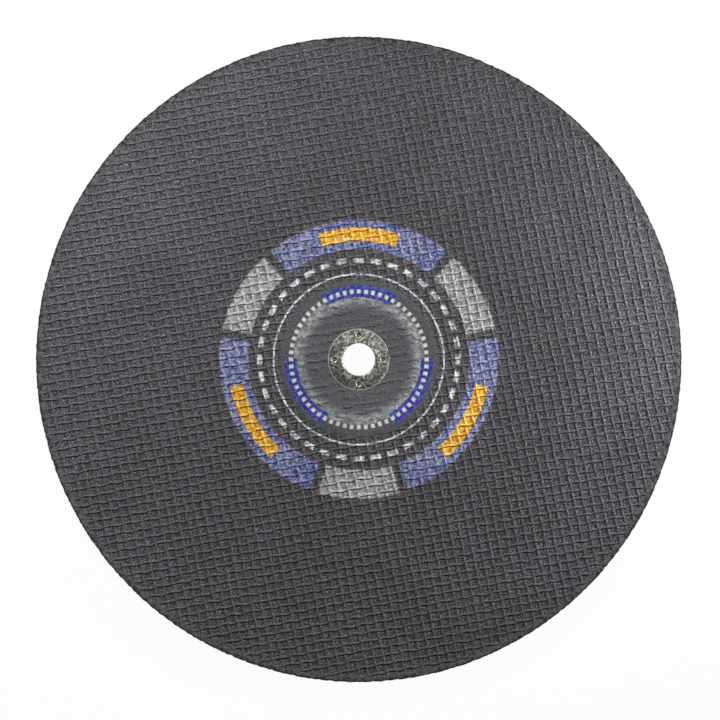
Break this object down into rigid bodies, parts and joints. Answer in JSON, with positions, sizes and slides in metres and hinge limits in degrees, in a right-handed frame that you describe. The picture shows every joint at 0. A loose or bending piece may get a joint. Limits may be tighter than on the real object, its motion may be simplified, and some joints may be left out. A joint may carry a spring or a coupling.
{
  "type": "cut off wheel",
  "caption": "Flat reinforced cut off wheel with woven relief on both faces, a pressed steel ring lining its arbor bore and a round printed label.",
  "frame": {"origin": "centre of the bore on the back face that the wheel lies on", "axes": "+Z along the wheel's axis, out of the labelled front face; +Y is up in the front view and +X to its right"},
  "size_m": [0.3999, 0.4, 0.0045],
  "materials": {
    "bonded_abrasive": "matte",
    "plated_steel": "satin",
    "printed_paper": "matte"
  },
  "bodies": {
    "root": {"abrasive_disc": "bonded_abrasive", "bore_ring": "plated_steel", "label": "printed_paper"}
  },
  "joints": []
}
